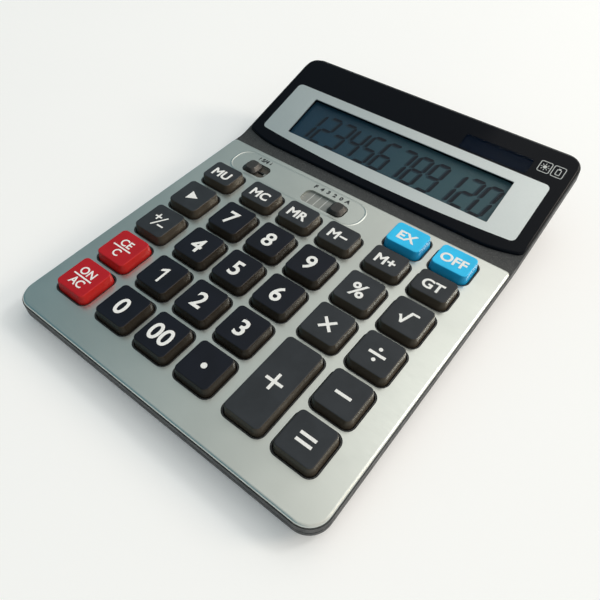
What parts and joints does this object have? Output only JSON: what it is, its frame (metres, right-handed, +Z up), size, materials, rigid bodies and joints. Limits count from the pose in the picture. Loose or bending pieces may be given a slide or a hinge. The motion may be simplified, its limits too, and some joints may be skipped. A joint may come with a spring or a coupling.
{
  "type": "desk calculator",
  "caption": "Desk calculator with a gently sloping silver key deck, sprung keys, a raised black display head with a solar window, two slide selectors and a battery door underneath.",
  "frame": {"origin": "middle of the underside, on the surface that the feet stand on", "axes": "+X to the user's right, +Y from the user to the display, +Z up"},
  "size_m": [0.155, 0.206, 0.0362],
  "materials": {
    "case_plastic": "fine spark texture, dark grey",
    "silver_plate": "satin anodised",
    "black_acrylic": "high gloss",
    "silver_frame": "matt silver",
    "clear_lens": "clear",
    "tinted_lens": "dark tint",
    "solar_film": "dark film with cell lines",
    "display_glass": "reflective display glass",
    "inner_plastic": "plain moulded",
    "silicone": "soft grey",
    "circuit_board": "lacquered board",
    "chip_resin": "resin drop",
    "ribbon_film": "flat cable",
    "wire_sleeve": "wire insulation",
    "cell_steel": "bright",
    "spring_metal": "bright spring strip",
    "screw_steel": "zinc plated",
    "foot_rubber": "matt",
    "pale_plastic": "plain",
    "knob_plastic": "fine texture",
    "key_black": "satin, near black",
    "key_grey": "satin, slate grey",
    "key_red": "satin red",
    "key_blue": "satin sky blue"
  },
  "bodies": {
    "case": {"bottom_case": "case_plastic", "top_case": "case_plastic", "head_case": "case_plastic", "faceplate": "silver_plate", "display_panel": "black_acrylic", "display_bezel": "silver_frame", "lcd_window": "clear_lens", "solar_window": "tinted_lens", "solar_cell": "solar_film", "lcd_glass": "display_glass", "lcd_holder": "inner_plastic", "elastomer_strip": "silicone", "display_board": "circuit_board", "controller_chip": "chip_resin", "key_board": "circuit_board", "rubber_keypad": "silicone", "ribbon_cable": "ribbon_film", "lead_wires": "wire_sleeve", "battery_cell": "cell_steel", "battery_clips": "spring_metal", "case_screws": "screw_steel", "board_screws": "screw_steel", "rubber_feet": "foot_rubber", "switch_strip": "pale_plastic"},
    "rounding_slide": {"rounding_selector": "knob_plastic", "rounding_wiper": "spring_metal"},
    "decimal_slide": {"decimal_selector": "knob_plastic", "decimal_wiper": "spring_metal"},
    "battery_door": {"battery_cover": "case_plastic"},
    "key_on_ac": {"key_on_ac": "key_red"},
    "key_clear_entry": {"key_clear_entry": "key_red"},
    "key_sign_change": {"key_sign_change": "key_grey"},
    "key_backspace": {"key_backspace": "key_grey"},
    "key_mark_up": {"key_mark_up": "key_grey"},
    "key_0": {"key_0": "key_black"},
    "key_1": {"key_1": "key_black"},
    "key_4": {"key_4": "key_black"},
    "key_7": {"key_7": "key_black"},
    "key_memory_clear": {"key_memory_clear": "key_grey"},
    "key_00": {"key_00": "key_black"},
    "key_2": {"key_2": "key_black"},
    "key_5": {"key_5": "key_black"},
    "key_8": {"key_8": "key_black"},
    "key_memory_recall": {"key_memory_recall": "key_grey"},
    "key_point": {"key_point": "key_black"},
    "key_3": {"key_3": "key_black"},
    "key_6": {"key_6": "key_black"},
    "key_9": {"key_9": "key_black"},
    "key_memory_minus": {"key_memory_minus": "key_grey"},
    "key_multiply": {"key_multiply": "key_grey"},
    "key_percent": {"key_percent": "key_grey"},
    "key_memory_plus": {"key_memory_plus": "key_grey"},
    "key_exchange": {"key_exchange": "key_blue"},
    "key_equals": {"key_equals": "key_grey"},
    "key_minus": {"key_minus": "key_grey"},
    "key_divide": {"key_divide": "key_grey"},
    "key_square_root": {"key_square_root": "key_grey"},
    "key_grand_total": {"key_grand_total": "key_grey"},
    "key_off": {"key_off": "key_blue"},
    "key_plus": {"key_plus": "key_grey"}
  },
  "joints": [
    {"name": "key_on_ac_press", "type": "slide", "parent": "case", "child": "key_on_ac", "axis": [0, 0.0436, -0.999], "range_m": [0, 0.002], "stiffness_N_per_m": 250, "springref_m": -0.001, "deforming": ["rubber_keypad"]},
    {"name": "key_clear_entry_press", "type": "slide", "parent": "case", "child": "key_clear_entry", "axis": [0, 0.0436, -0.999], "range_m": [0, 0.002], "stiffness_N_per_m": 250, "springref_m": -0.001, "deforming": ["rubber_keypad"]},
    {"name": "key_sign_change_press", "type": "slide", "parent": "case", "child": "key_sign_change", "axis": [0, 0.0436, -0.999], "range_m": [0, 0.002], "stiffness_N_per_m": 250, "springref_m": -0.001, "deforming": ["rubber_keypad"]},
    {"name": "key_backspace_press", "type": "slide", "parent": "case", "child": "key_backspace", "axis": [0, 0.0436, -0.999], "range_m": [0, 0.002], "stiffness_N_per_m": 250, "springref_m": -0.001, "deforming": ["rubber_keypad"]},
    {"name": "key_mark_up_press", "type": "slide", "parent": "case", "child": "key_mark_up", "axis": [0, 0.0436, -0.999], "range_m": [0, 0.002], "stiffness_N_per_m": 250, "springref_m": -0.001, "deforming": ["rubber_keypad"]},
    {"name": "key_0_press", "type": "slide", "parent": "case", "child": "key_0", "axis": [0, 0.0436, -0.999], "range_m": [0, 0.002], "stiffness_N_per_m": 250, "springref_m": -0.001, "deforming": ["rubber_keypad"]},
    {"name": "key_1_press", "type": "slide", "parent": "case", "child": "key_1", "axis": [0, 0.0436, -0.999], "range_m": [0, 0.002], "stiffness_N_per_m": 250, "springref_m": -0.001, "deforming": ["rubber_keypad"]},
    {"name": "key_4_press", "type": "slide", "parent": "case", "child": "key_4", "axis": [0, 0.0436, -0.999], "range_m": [0, 0.002], "stiffness_N_per_m": 250, "springref_m": -0.001, "deforming": ["rubber_keypad"]},
    {"name": "key_7_press", "type": "slide", "parent": "case", "child": "key_7", "axis": [0, 0.0436, -0.999], "range_m": [0, 0.002], "stiffness_N_per_m": 250, "springref_m": -0.001, "deforming": ["rubber_keypad"]},
    {"name": "key_memory_clear_press", "type": "slide", "parent": "case", "child": "key_memory_clear", "axis": [0, 0.0436, -0.999], "range_m": [0, 0.002], "stiffness_N_per_m": 250, "springref_m": -0.001, "deforming": ["rubber_keypad"]},
    {"name": "key_00_press", "type": "slide", "parent": "case", "child": "key_00", "axis": [0, 0.0436, -0.999], "range_m": [0, 0.002], "stiffness_N_per_m": 250, "springref_m": -0.001, "deforming": ["rubber_keypad"]},
    {"name": "key_2_press", "type": "slide", "parent": "case", "child": "key_2", "axis": [0, 0.0436, -0.999], "range_m": [0, 0.002], "stiffness_N_per_m": 250, "springref_m": -0.001, "deforming": ["rubber_keypad"]},
    {"name": "key_5_press", "type": "slide", "parent": "case", "child": "key_5", "axis": [0, 0.0436, -0.999], "range_m": [0, 0.002], "stiffness_N_per_m": 250, "springref_m": -0.001, "deforming": ["rubber_keypad"]},
    {"name": "key_8_press", "type": "slide", "parent": "case", "child": "key_8", "axis": [0, 0.0436, -0.999], "range_m": [0, 0.002], "stiffness_N_per_m": 250, "springref_m": -0.001, "deforming": ["rubber_keypad"]},
    {"name": "key_memory_recall_press", "type": "slide", "parent": "case", "child": "key_memory_recall", "axis": [0, 0.0436, -0.999], "range_m": [0, 0.002], "stiffness_N_per_m": 250, "springref_m": -0.001, "deforming": ["rubber_keypad"]},
    {"name": "key_point_press", "type": "slide", "parent": "case", "child": "key_point", "axis": [0, 0.0436, -0.999], "range_m": [0, 0.002], "stiffness_N_per_m": 250, "springref_m": -0.001, "deforming": ["rubber_keypad"]},
    {"name": "key_3_press", "type": "slide", "parent": "case", "child": "key_3", "axis": [0, 0.0436, -0.999], "range_m": [0, 0.002], "stiffness_N_per_m": 250, "springref_m": -0.001, "deforming": ["rubber_keypad"]},
    {"name": "key_6_press", "type": "slide", "parent": "case", "child": "key_6", "axis": [0, 0.0436, -0.999], "range_m": [0, 0.002], "stiffness_N_per_m": 250, "springref_m": -0.001, "deforming": ["rubber_keypad"]},
    {"name": "key_9_press", "type": "slide", "parent": "case", "child": "key_9", "axis": [0, 0.0436, -0.999], "range_m": [0, 0.002], "stiffness_N_per_m": 250, "springref_m": -0.001, "deforming": ["rubber_keypad"]},
    {"name": "key_memory_minus_press", "type": "slide", "parent": "case", "child": "key_memory_minus", "axis": [0, 0.0436, -0.999], "range_m": [0, 0.002], "stiffness_N_per_m": 250, "springref_m": -0.001, "deforming": ["rubber_keypad"]},
    {"name": "key_multiply_press", "type": "slide", "parent": "case", "child": "key_multiply", "axis": [0, 0.0436, -0.999], "range_m": [0, 0.002], "stiffness_N_per_m": 250, "springref_m": -0.001, "deforming": ["rubber_keypad"]},
    {"name": "key_percent_press", "type": "slide", "parent": "case", "child": "key_percent", "axis": [0, 0.0436, -0.999], "range_m": [0, 0.002], "stiffness_N_per_m": 250, "springref_m": -0.001, "deforming": ["rubber_keypad"]},
    {"name": "key_memory_plus_press", "type": "slide", "parent": "case", "child": "key_memory_plus", "axis": [0, 0.0436, -0.999], "range_m": [0, 0.002], "stiffness_N_per_m": 250, "springref_m": -0.001, "deforming": ["rubber_keypad"]},
    {"name": "key_exchange_press", "type": "slide", "parent": "case", "child": "key_exchange", "axis": [0, 0.0436, -0.999], "range_m": [0, 0.002], "stiffness_N_per_m": 250, "springref_m": -0.001, "deforming": ["rubber_keypad"]},
    {"name": "key_equals_press", "type": "slide", "parent": "case", "child": "key_equals", "axis": [0, 0.0436, -0.999], "range_m": [0, 0.002], "stiffness_N_per_m": 250, "springref_m": -0.001, "deforming": ["rubber_keypad"]},
    {"name": "key_minus_press", "type": "slide", "parent": "case", "child": "key_minus", "axis": [0, 0.0436, -0.999], "range_m": [0, 0.002], "stiffness_N_per_m": 250, "springref_m": -0.001, "deforming": ["rubber_keypad"]},
    {"name": "key_divide_press", "type": "slide", "parent": "case", "child": "key_divide", "axis": [0, 0.0436, -0.999], "range_m": [0, 0.002], "stiffness_N_per_m": 250, "springref_m": -0.001, "deforming": ["rubber_keypad"]},
    {"name": "key_square_root_press", "type": "slide", "parent": "case", "child": "key_square_root", "axis": [0, 0.0436, -0.999], "range_m": [0, 0.002], "stiffness_N_per_m": 250, "springref_m": -0.001, "deforming": ["rubber_keypad"]},
    {"name": "key_grand_total_press", "type": "slide", "parent": "case", "child": "key_grand_total", "axis": [0, 0.0436, -0.999], "range_m": [0, 0.002], "stiffness_N_per_m": 250, "springref_m": -0.001, "deforming": ["rubber_keypad"]},
    {"name": "key_off_press", "type": "slide", "parent": "case", "child": "key_off", "axis": [0, 0.0436, -0.999], "range_m": [0, 0.002], "stiffness_N_per_m": 250, "springref_m": -0.001, "deforming": ["rubber_keypad"]},
    {"name": "key_plus_press", "type": "slide", "parent": "case", "child": "key_plus", "axis": [0, 0.0436, -0.999], "range_m": [0, 0.002], "stiffness_N_per_m": 250, "springref_m": -0.001, "deforming": ["rubber_keypad"]},
    {"name": "rounding_select", "type": "slide", "parent": "case", "child": "rounding_slide", "axis": [1, 0, 0], "range_m": [0, 0.005]},
    {"name": "decimal_select", "type": "slide", "parent": "case", "child": "decimal_slide", "axis": [-1, 0, 0], "range_m": [0, 0.015]},
    {"name": "battery_cover_slide", "type": "slide", "parent": "case", "child": "battery_door", "axis": [0, 1, 0], "range_m": [0, 0.033]}
  ]
}
